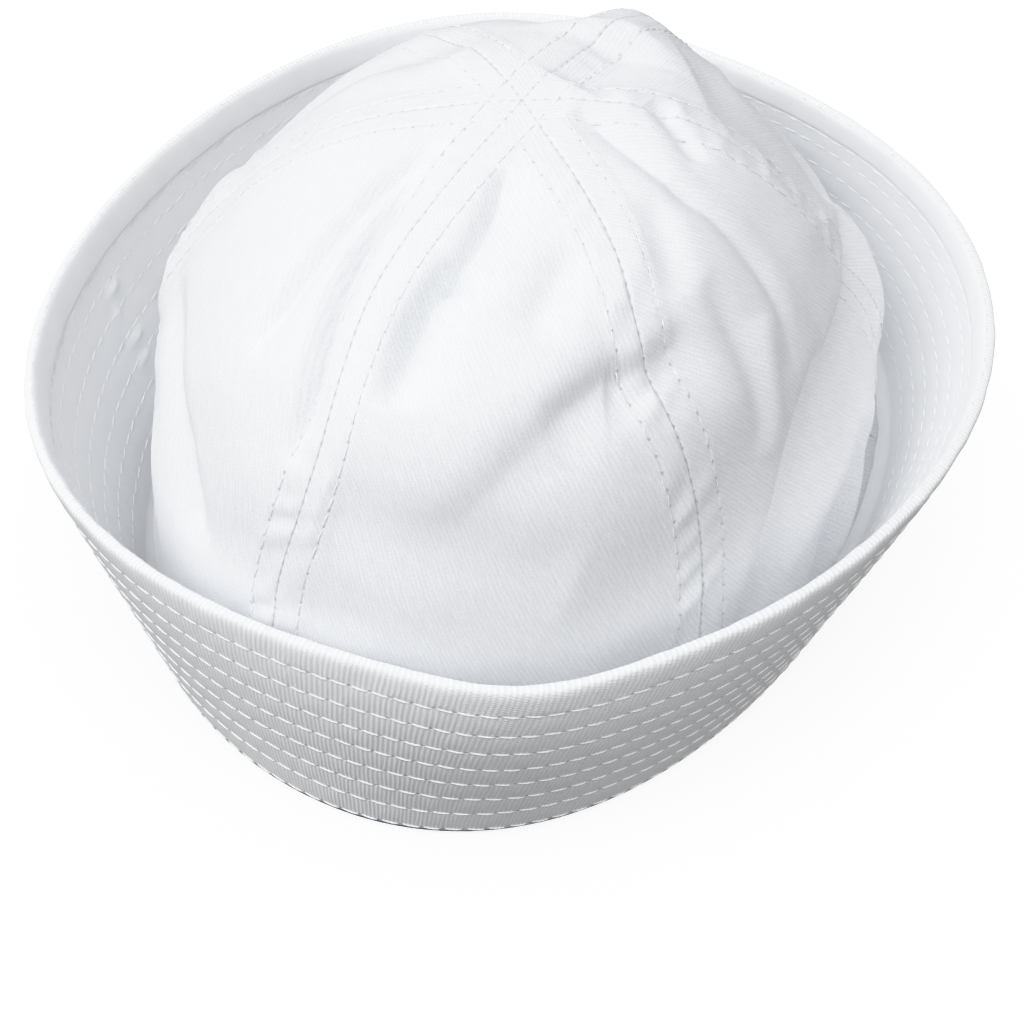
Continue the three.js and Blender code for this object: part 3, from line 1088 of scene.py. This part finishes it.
    def brim_piece(self) -> bpy.types.Object:
        """The brim's cloth as one closed ring.

        Its ribs run up the wall, and lean over where the cloth is cut on the bias. Past the top of the rolled
        edge the stitch map holds the calm row.

        Returns:
            The brim's object.
        """
        angle = np.linspace(0.0, 2.0 * np.pi, self.columns + 1)
        section = self.section(angle)
        points = section[:, :-1]
        steps = points.shape[0]
        grid = quads(steps, self.columns)
        number = (grid[..., 0] % steps) * self.columns + grid[..., 1] % self.columns
        foot, upward, _, _ = self.axes(angle)
        closed = np.concatenate([section, section[:1]])
        height = ((closed - foot[None]) * upward[None]).sum(-1)
        middle = self.row_lengths(angle, (self.row_count - 1) / 2.0)
        ribs = np.round(middle[-1] / self.rib_pitch) * middle / middle[-1]
        lean = np.cos((angle - np.radians(self.slant_turn)) / 2.0) ** self.slant_power
        slant = np.tan(np.radians(self.slant) * lean) * height / self.rib_pitch
        weave = np.stack([ribs[None] - slant, height], axis=-1)
        row = height / self.pitch - self.foot_margin
        rows = range(self.row_count)
        turns = np.stack([self.stitch_count(k) * self.row_lengths(angle, k) for k in rows])
        turns = turns / np.stack([self.row_lengths(angle[-1], k) for k in rows])[:, None]
        nearest = np.clip(np.round(row), 0, self.row_count - 1).astype(int)
        below_edge = np.minimum(row, self.row_count - 0.6)
        edge_step = (self.row_count - 1) * self.row_steps + 2 + self.bead_steps // 2
        inside = np.arange(steps + 1)[:, None] >= edge_step
        below_edge = np.where(inside, CALM_ROW, below_edge)
        stitch = np.stack([below_edge, np.take_along_axis(turns, nearest, axis=0)], axis=-1)
        place = grid[..., 0] * (self.columns + 1) + grid[..., 1]
        maps = {
            WEAVE_MAP: weave.reshape(-1, 2)[place.ravel()],
            STITCH_MAP: stitch.reshape(-1, 2)[place.ravel()],
        }
        piece = write_mesh("cloth_brim", points.reshape(-1, 3), [number], maps)
        return piece

    def stitch_piece(self, thread: Thread, face: Face) -> bpy.types.Object:
        """Every row of stitching that shows on a face, as one joined mesh.

        Args:
            thread: The thread.
            face: Which face.

        Returns:
            The joined object.
        """
        draw = np.random.default_rng(self.stitch_seed)
        starts, ends, normals = [], [], []
        fine = np.linspace(0.0, 2.0 * np.pi, self.stitch_steps)
        first_row = 0 if face is Face.OUTER else 1
        for row in range(self.row_count):
            count = self.stitch_count(row)
            lengths = self.row_lengths(fine, row)
            pitch = lengths[-1] / count
            begin = (np.arange(count) + 0.5 - self.stitch_share / 2.0) * pitch
            begin = begin + draw.normal(0.0, self.stitch_slip, count)
            finish = begin + pitch * self.stitch_share + draw.normal(0.0, self.stitch_slip, count)
            shift = draw.normal(0.0, self.stitch_sway, (2, count))
            if row < first_row:
                continue
            level = self.row_height(row)
            if face is Face.INNER and row == self.row_count - 1:
                level = level - self.below_crease
            pair = []
            lean = self.stitch_lean
            for length, drift in ((begin, shift[0] + lean), (finish, shift[1] - lean)):
                angle = np.interp(length % lengths[-1], lengths, fine)
                swell = self.swell(angle, np.full_like(angle, level), face)
                depth = -swell if face is Face.OUTER else self.cloth + swell
                pair.append(self.wall(angle, level + drift, depth))
            _, _, outward, _ = self.axes(angle)
            starts.append(pair[0])
            ends.append(pair[1])
            normals.append(outward if face is Face.OUTER else -outward)
        return thread.lay(f"brim_stitch_{face.value}", *(np.concatenate(p) for p in (starts, ends, normals)))


class Graph:
    """A material's node tree, with short calls for the nodes that the finishes use."""

    def __init__(self, name: str) -> None:
        """Makes an empty material with a surface shader.

        Args:
            name: Name of the material.
        """
        self.material = bpy.data.materials.new(name)
        self.material.use_nodes = True
        self.nodes = self.material.node_tree.nodes
        self.links = self.material.node_tree.links
        self.shader = self.nodes["Principled BSDF"]

    def feed(self, value: Socket | float, socket: Socket) -> None:
        """Links a socket or sets a plain number.

        Args:
            value: The socket or number to take.
            socket: The socket that takes it.
        """
        if isinstance(value, Socket):
            self.links.new(value, socket)
        else:
            socket.default_value = value

    def math(self, operation: str, *values: Socket | float) -> Socket:
        """Result of a Math node.

        Args:
            operation: The node's operation.
            values: Sockets or numbers that it takes.

        Returns:
            The result's socket.
        """
        node = self.nodes.new("ShaderNodeMath")
        node.operation = operation
        for value, socket in zip(values, node.inputs):
            self.feed(value, socket)
        return node.outputs[0]

    def map(self, name: str) -> tuple[Socket, Socket]:
        """The two coordinates of a UV map.

        Args:
            name: Name of the map.

        Returns:
            Their sockets.
        """
        node = self.nodes.new("ShaderNodeUVMap")
        node.uv_map = name
        split = self.nodes.new("ShaderNodeSeparateXYZ")
        self.links.new(node.outputs["UV"], split.inputs[0])
        return split.outputs[0], split.outputs[1]

    def vector(self, x: Socket | float, y: Socket | float) -> Socket:
        """A vector from two coordinates.

        Args:
            x: First coordinate.
            y: Second coordinate.

        Returns:
            The vector's socket.
        """
        node = self.nodes.new("ShaderNodeCombineXYZ")
        self.feed(x, node.inputs[0])
        self.feed(y, node.inputs[1])
        return node.outputs[0]

    def noise(self, vector: Socket, scale: float, detail: float = 2.0) -> Socket:
        """Value of a noise texture, about 0.5 on average.

        Args:
            vector: Place in the texture.
            scale: Its scale.
            detail: How many finer layers it has.

        Returns:
            The value's socket.
        """
        node = self.nodes.new("ShaderNodeTexNoise")
        self.links.new(vector, node.inputs["Vector"])
        node.inputs["Scale"].default_value = scale
        node.inputs["Detail"].default_value = detail
        return node.outputs[0]

    def wave(self, turns: Socket) -> Socket:
        """Run from 0 to 1 and back for each whole turn: 0.5 + 0.5 sin(2 pi t)."""
        sine = self.math("SINE", self.math("MULTIPLY", turns, 2.0 * np.pi))
        return self.math("MULTIPLY_ADD", sine, 0.5, 0.5)

    def off_whole(self, value: Socket) -> Socket:
        """Distance of a value from the nearest whole number, with its sign."""
        return self.math("SUBTRACT", value, self.math("ROUND", value))

    def spot(self, distance: Socket, width: float) -> Socket:
        """Bell curve exp(-(distance / width)^2)."""
        share = self.math("DIVIDE", distance, width)
        return self.math("POWER", np.e, self.math("MULTIPLY", self.math("MULTIPLY", share, share), -1.0))

    def mix(self, factor: Socket, low: tuple[float, ...], high: tuple[float, ...]) -> Socket:
        """Colour between two colours.

        Args:
            factor: Share of the high colour.
            low: Colour at 0.
            high: Colour at 1.

        Returns:
            The colour's socket.
        """
        node = self.nodes.new("ShaderNodeMix")
        node.data_type = "RGBA"
        node.clamp_factor = False
        self.links.new(factor, node.inputs["Factor"])
        node.inputs[6].default_value = (*low, 1.0)
        node.inputs[7].default_value = (*high, 1.0)
        return node.outputs[2]

    def bump(self, height: Socket, distance: float) -> None:
        """Feeds a height into the shader's normal.

        Args:
            height: The height.
            distance: What a height of 1 stands for, in metres.
        """
        node = self.nodes.new("ShaderNodeBump")
        node.inputs["Strength"].default_value = 1.0
        node.inputs["Distance"].default_value = distance
        self.links.new(height, node.inputs["Height"])
        self.links.new(node.outputs[0], self.shader.inputs["Normal"])


class StitchLayout(Enum):
    """How a stitch map counts: from the seam in millimetres, or in rows up the brim."""

    SEAM = "seam"
    ROWS = "rows"


@dataclass(frozen=True)
class Twill:
    """Bleached cotton twill: slanting ribs of short floats, uneven yarns, and needle holes.

    The holes lie along its stitching. Its colour is painted darker in the grooves between the ribs and in the
    holes, as the shade that falls there. Where the stitch map holds the calm row, the weave is flatter and
    there are no holes.
    """

    name: str
    layout: StitchLayout
    stitch_pitch: float
    high: tuple[float, float, float]
    low: tuple[float, float, float]
    rib_height: float
    painted_hole_shade: float
    grain: float
    ribbing: float = 1.0
    row_offset: float = 0.0
    row_pitch: float = 1.0
    calm: float = 0.92
    float_length: float = 0.62
    float_relief: tuple[float, float] = (0.6, 0.5)
    yarn_relief: tuple[float, float] = (1.3, 0.35)
    drift: float = 0.9
    drift_scale: tuple[float, float] = (0.25, 0.12)
    yarn_scale: float = 1.3
    yarn_stretch: float = 0.16
    lint_scale: float = 2.6
    hole_depth: float = 2.0
    hole_half: tuple[float, float] = (0.25, 0.34)
    dot_half: tuple[float, float] = (0.3, 0.5)
    dot_share: float = 0.6
    dots_per_stitch: float = 1.5
    painted_rib_shade: float = 0.8
    yarn_shade: float = 0.6
    lint_shade: float = 1.4
    mean_shade: float = 0.43
    roughness: tuple[float, float] = (0.12, 0.82)
    sheen: float = 0.12
    sheen_roughness: float = 0.45
    gloss: float = 0.25

    def material(self) -> bpy.types.Material:
        """The finish as a material.

        The ribs are a wave across the cloth that drifts slowly, broken into floats by a second wave. The
        height is ribs times yarn plus lint, less the holes, and the base colour follows the same values.
        The uneven tone of the yarns and lint is the cloth's own. The darker rib grooves and holes are
        painted shade.

        Returns:
            The material.
        """
        graph = Graph(self.name)
        across, along = graph.map(WEAVE_MAP)
        wide = graph.math("MULTIPLY", across, self.drift_scale[0])
        long = graph.math("MULTIPLY", along, self.drift_scale[1])
        ribs = graph.math("MULTIPLY_ADD", graph.noise(graph.vector(wide, long), 1.0), self.drift, across)
        rib = graph.wave(ribs)
        floated = graph.math("DIVIDE", along, self.float_length)
        floats = graph.wave(graph.math("MULTIPLY_ADD", ribs, 0.5, floated))
        drawn = graph.vector(across, graph.math("MULTIPLY", along, self.yarn_stretch))
        yarn = graph.noise(drawn, self.yarn_scale, 3.0)
        lint = graph.noise(graph.vector(across, along), self.lint_scale, 2.0)
        body = graph.math("MULTIPLY", rib, graph.math("MULTIPLY_ADD", floats, *self.float_relief))
        height = graph.math("MULTIPLY", body, graph.math("MULTIPLY_ADD", yarn, *self.yarn_relief))
        height = graph.math("MULTIPLY_ADD", lint, self.grain, graph.math("MULTIPLY", height, self.ribbing))
        row, stitch = graph.map(STITCH_MAP)
        clear = graph.math("MULTIPLY_ADD", graph.math("LESS_THAN", row, CALM_ROW / 2.0), -self.calm, 1.0)
        hole = self.holes(graph, row, stitch)
        sunk = graph.math("MULTIPLY", hole, self.hole_depth)
        height = graph.math("SUBTRACT", graph.math("MULTIPLY", height, clear), sunk)
        graph.bump(height, self.rib_height * MM)
        # Base colour: painted shade in the grooves between the ribs, then the yarns' and lint's own uneven
        # tone.
        shade = graph.math("MULTIPLY", graph.math("SUBTRACT", body, 0.4), self.painted_rib_shade * self.ribbing)
        shade = graph.math("MULTIPLY_ADD", graph.math("SUBTRACT", yarn, 0.5), self.yarn_shade, shade)
        lint_shade = self.lint_shade * self.grain
        shade = graph.math("MULTIPLY_ADD", graph.math("SUBTRACT", lint, 0.5), lint_shade, shade)
        shade = graph.math("MULTIPLY_ADD", shade, clear, self.mean_shade)
        # Painted shade in the needle holes and where the stitches' ends dip into the cloth.
        shade = graph.math("SUBTRACT", shade, graph.math("MULTIPLY", hole, self.painted_hole_shade))
        graph.links.new(graph.mix(shade, self.low, self.high), graph.shader.inputs["Base Color"])
        graph.links.new(graph.math("MULTIPLY_ADD", yarn, *self.roughness), graph.shader.inputs["Roughness"])
        graph.shader.inputs["Sheen Weight"].default_value = self.sheen
        graph.shader.inputs["Sheen Roughness"].default_value = self.sheen_roughness
        graph.shader.inputs["Specular IOR Level"].default_value = self.gloss
        return graph.material

    def holes(self, graph: Graph, row: Socket, stitch: Socket) -> Socket:
        """Needle holes at the ends of the stitches, and fainter ones along a seam.

        Args:
            graph: The material's node tree.
            row: First coordinate of the stitch map.
            stitch: Second coordinate of the stitch map.

        Returns:
            Socket of the sinking and its painted shade, 0 on plain cloth and 1 in a hole.
        """
        if self.layout is StitchLayout.SEAM:
            off_row = graph.math("SUBTRACT", row, self.row_offset)
        else:
            off_row = graph.math("MULTIPLY", graph.off_whole(row), self.row_pitch)
        off_hole = graph.math("MULTIPLY", graph.off_whole(stitch), self.stitch_pitch)
        across, along = self.hole_half
        holes = graph.math("MULTIPLY", graph.spot(off_row, across), graph.spot(off_hole, along))
        if self.layout is StitchLayout.ROWS:
            return holes
        # Fainter dots along the seam line: painted shade in its ditch.
        fine = graph.math("MULTIPLY", stitch, self.dots_per_stitch)
        off_dot = graph.math("MULTIPLY", graph.off_whole(fine), self.stitch_pitch / self.dots_per_stitch)
        across, along = self.dot_half
        dots = graph.math("MULTIPLY", graph.spot(row, across), graph.spot(off_dot, along))
        return graph.math("MULTIPLY_ADD", dots, self.dot_share, holes)


@dataclass(frozen=True)
class ThreadFinish:
    """White cotton thread with the ridges of its twist."""

    name: str = "white_thread"
    high: tuple[float, float, float] = (0.96, 0.96, 0.965)
    low: tuple[float, float, float] = (0.84, 0.84, 0.855)
    twists: float = 7.0
    ridge: float = 0.03
    roughness: tuple[float, float] = (0.15, 0.6)
    sheen: float = 0.1

    def material(self) -> bpy.types.Material:
        """The finish as a material, whose plies are a wave that winds round the thread.

        Returns:
            The material.
        """
        graph = Graph(self.name)
        along, around = graph.map(WEAVE_MAP)
        ply = graph.wave(graph.math("MULTIPLY_ADD", along, self.twists, around))
        graph.bump(ply, self.ridge * MM)
        # The base colour is painted darker in the grooves between the plies, as the shade there.
        graph.links.new(graph.mix(ply, self.low, self.high), graph.shader.inputs["Base Color"])
        graph.links.new(graph.math("MULTIPLY_ADD", ply, *self.roughness), graph.shader.inputs["Roughness"])
        graph.shader.inputs["Sheen Weight"].default_value = self.sheen
        return graph.material


@dataclass(frozen=True)
class SoftSun:
    """A wide, even light, with its bearing from the camera's side towards its right.

    With a slot, it lights only that slot's pieces, and it can pass through the others as light does through
    thin cloth.
    """

    name: str
    bearing: float
    elevation: float
    spread: float
    strength: float
    tint: tuple[float, float, float] = NEUTRAL
    only: Slot | None = None
    passes: bool = False


@dataclass(frozen=True)
class Studio:
    """Camera at the photograph's angle, soft overhead light and a pale floor."""

    azimuth: float = 22.0
    elevation: float = 47.0
    roll: float = -3.3
    distance: float = 0.9
    aim: tuple[float, float, float] = (0.1, 5.1, 0.0)
    aim_right: float = -3.344
    aim_up: float = -9.084
    lens: float = 136.88
    sensor: float = 36.0
    sky: float = 0.36
    sky_tint: tuple[float, float, float] = (0.985, 0.99, 1.0)
    suns: tuple[SoftSun, ...] = (
        SoftSun("key", 305.0, 58.0, 40.0, 1.4, COOL),
        SoftSun("left_fill", 269.0, 25.0, 45.0, 0.8),
        SoftSun("right_fill", 58.0, 28.0, 45.0, 0.15),
        SoftSun("back", 180.0, 62.0, 50.0, 0.8, COOL),
        SoftSun("crown_glow", 315.0, -8.0, 50.0, 0.42, COOL, Slot.CROWN, True),
        SoftSun("crown_right", 40.0, 40.0, 45.0, 0.7, COOL, Slot.CROWN),
        SoftSun("brim_glow", 280.0, 48.0, 30.0, 0.5, COOL, Slot.BRIM, True),
        SoftSun("brim_back_glow", 345.0, 45.0, 30.0, 0.35, COOL, Slot.BRIM, True),
        SoftSun("brim_right", 72.0, 9.0, 16.0, 0.9, NEUTRAL, Slot.BRIM),
    )
    floor_wash: SoftSun = SoftSun("floor_wash", 0.0, 90.0, 120.0, 33.0)
    floor_size: float = 4.0
    floor_shade: float = 0.08
    white_point: float = 1.6
    shoulder: tuple[tuple[float, float], ...] = ((0.35, 0.35), (0.75, 0.75), (1.0, 0.91))

    def axes(self) -> tuple[np.ndarray, np.ndarray, np.ndarray]:
        """Directions of the camera: a level view that is tilted down, rolled, and then turned about +Z.

        Returns:
            Directions to the right, up and ahead of it.
        """
        tilt, roll, turn = np.radians([self.elevation, self.roll, self.azimuth])
        ahead = np.array([0.0, np.cos(tilt), -np.sin(tilt)])
        right = np.array([1.0, 0.0, 0.0])
        upward = np.cross(right, ahead)
        level = np.cos(roll) * right + np.sin(roll) * upward
        upright = np.cos(roll) * upward - np.sin(roll) * right
        cosine, sine = np.cos(turn), np.sin(turn)
        spin = np.array([[cosine, -sine, 0.0], [sine, cosine, 0.0], [0.0, 0.0, 1.0]])
        return spin @ level, spin @ upright, spin @ ahead

    def camera(self) -> None:
        """The camera, with depth of field off."""
        right, upward, ahead = self.axes()
        aim = np.array(self.aim) + right * self.aim_right + upward * self.aim_up
        place = aim * MM - ahead * self.distance
        data = bpy.data.cameras.new("camera")
        data.lens = self.lens
        data.sensor_width = self.sensor
        camera = bpy.data.objects.new("camera", data)
        turned = Matrix(np.stack([right, upward, -ahead], axis=1).tolist()).to_4x4()
        camera.matrix_world = Matrix.Translation(Vector(place)) @ turned
        bpy.context.scene.collection.objects.link(camera)
        bpy.context.scene.camera = camera

    def light(self, sun: SoftSun) -> bpy.types.Object:
        """A sun lamp that shines from its bearing and elevation.

        Args:
            sun: What kind of light.

        Returns:
            The lamp.
        """
        right, _, ahead = self.axes()
        level = unit(np.array([ahead[0], ahead[1], 0.0]))
        aside = unit(np.array([right[0], right[1], 0.0]))
        bearing, tilt = np.radians([sun.bearing, sun.elevation])
        heading = aside * np.sin(bearing) - level * np.cos(bearing)
        direction = heading * np.cos(tilt) + np.array([0.0, 0.0, np.sin(tilt)])
        data = bpy.data.lights.new(sun.name, "SUN")
        data.energy = sun.strength
        data.color = sun.tint
        data.angle = np.radians(sun.spread)
        lamp = bpy.data.objects.new(sun.name, data)
        lamp.rotation_euler = Vector(direction).to_track_quat("Z", "Y").to_euler()
        bpy.context.scene.collection.objects.link(lamp)
        return lamp

    def lights(self, floor: bpy.types.Object) -> None:
        """A white sky, soft suns, and a wash that lights only the floor, half of it without a shadow.

        Args:
            floor: The floor.
        """
        world = bpy.data.worlds.new("sky")
        world.use_nodes = True
        background = world.node_tree.nodes["Background"]
        background.inputs["Color"].default_value = (*self.sky_tint, 1.0)
        background.inputs["Strength"].default_value = self.sky
        bpy.context.scene.world = world
        for slot in Slot:
            bpy.data.collections.new(slot.value)
        for sun in self.suns:
            lamp = self.light(sun)
            if sun.only:
                lamp.light_linking.receiver_collection = bpy.data.collections[sun.only.value]
            if sun.passes:
                lamp.light_linking.blocker_collection = bpy.data.collections[sun.only.value]
        lit = bpy.data.collections.new("floor_only")
        lit.objects.link(floor)
        for shadowless in (False, True):
            wash = self.light(self.floor_wash)
            wash.data.cycles.max_bounces = 0
            wash.data.cycles.use_multiple_importance_sampling = False
            wash.light_linking.receiver_collection = lit
            wash.light_linking.blocker_collection = lit if shadowless else None

    def floor(self) -> bpy.types.Object:
        """A plain pale floor, as one square.

        Returns:
            The floor.
        """
        half = self.floor_size / 2.0 / MM
        points = np.array([[-half, -half, 0.0], [half, -half, 0.0], [half, half, 0.0], [-half, half, 0.0]])
        floor = write_mesh("floor", points, [np.array([[0, 1, 2, 3]])], {})
        graph = Graph("pale_floor")
        graph.shader.inputs["Base Color"].default_value = (*(self.floor_shade,) * 3, 1.0)
        graph.shader.inputs["Roughness"].default_value = 1.0
        graph.shader.inputs["Specular IOR Level"].default_value = 0.0
        floor.data.materials.append(graph.material)
        return floor

    def build(self) -> None:
        """Sets the whole studio."""
        floor = self.floor()
        self.lights(floor)
        self.camera()
        self.tone()

    def tone(self) -> None:
        """A soft shoulder: values pass unchanged up to 0.75 and level off to white at the curve's end."""
        view = bpy.context.scene.view_settings
        view.view_transform = "Standard"
        view.look = "None"
        view.use_curve_mapping = True
        mapping = view.curve_mapping
        mapping.extend = "HORIZONTAL"
        mapping.white_level = (self.white_point,) * 3
        shoulder = mapping.curves[3]
        for light, shown in self.shoulder:
            point = shoulder.points.new(light / self.white_point, shown)
            point.handle_type = "AUTO_CLAMPED"
        mapping.update()


def dress(
    piece: bpy.types.Object, material: bpy.types.Material, slot: Slot, node: str | None = None
) -> None:
    """Gives a piece its finish, body and slot, and the solid that it stands for.

    Args:
        piece: The object.
        material: Its finish.
        slot: The record's material slot.
        node: Name of the solid that it replaces, if any.
    """
    piece.data.materials.append(material)
    bpy.data.collections[slot.value].objects.link(piece)
    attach(piece, BODY)
    if node:
        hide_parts(node)
    LOG.info("%s: %d faces", piece.name, len(piece.data.polygons))


def main() -> None:
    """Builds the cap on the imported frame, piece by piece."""
    logging.basicConfig(level=logging.INFO, format="%(name)s %(message)s")
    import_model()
    Studio().build()

    crown, brim = Crown(), Brim()
    crown_twill = Twill(
        name="crown_twill",
        layout=StitchLayout.SEAM,
        row_offset=crown.strip_half_width,
        stitch_pitch=crown.stitch_pitch,
        # The crown's cloth is bluer than the brim's, though both are the same cotton: painted light, the cool
        # light from above.
        high=(0.985, 0.99, 1.0),
        low=(0.745, 0.752, 0.775),
        rib_height=0.10,
        painted_hole_shade=1.0,
        ribbing=0.3,
        grain=0.9,
    ).material()
    brim_twill = Twill(
        name="brim_twill",
        layout=StitchLayout.ROWS,
        row_pitch=brim.pitch,
        stitch_pitch=brim.stitch_pitch,
        high=(0.955, 0.957, 0.963),
        low=(0.75, 0.752, 0.758),
        rib_height=0.11,
        painted_hole_shade=0.6,
        grain=0.7,
    ).material()
    white_thread = ThreadFinish().material()
    # A darker copy of the white thread for the brim's inner face: painted shade where that face lies in
    # shadow.
    painted_shade_thread = ThreadFinish("painted_shade_thread", high=(0.87, 0.87, 0.88), low=(0.8, 0.8, 0.81)).material()

    for gore in crown.gores:
        dress(crown.gore_piece(gore), crown_twill, Slot.CROWN, gore.name)
    dress(crown.stitch_piece(Thread(radius=0.18, proud=0.1)), white_thread, Slot.CROWN)
    dress(brim.brim_piece(), brim_twill, Slot.BRIM, "brim")
    outer_thread = Thread(radius=0.18, proud=0.12, bow=-0.12)
    inner_thread = Thread(radius=0.3, proud=-0.08, bow=0.0)
    dress(brim.stitch_piece(outer_thread, Face.OUTER), white_thread, Slot.BRIM)
    dress(brim.stitch_piece(inner_thread, Face.INNER), painted_shade_thread, Slot.BRIM)


if __name__ == "__main__":
    main()
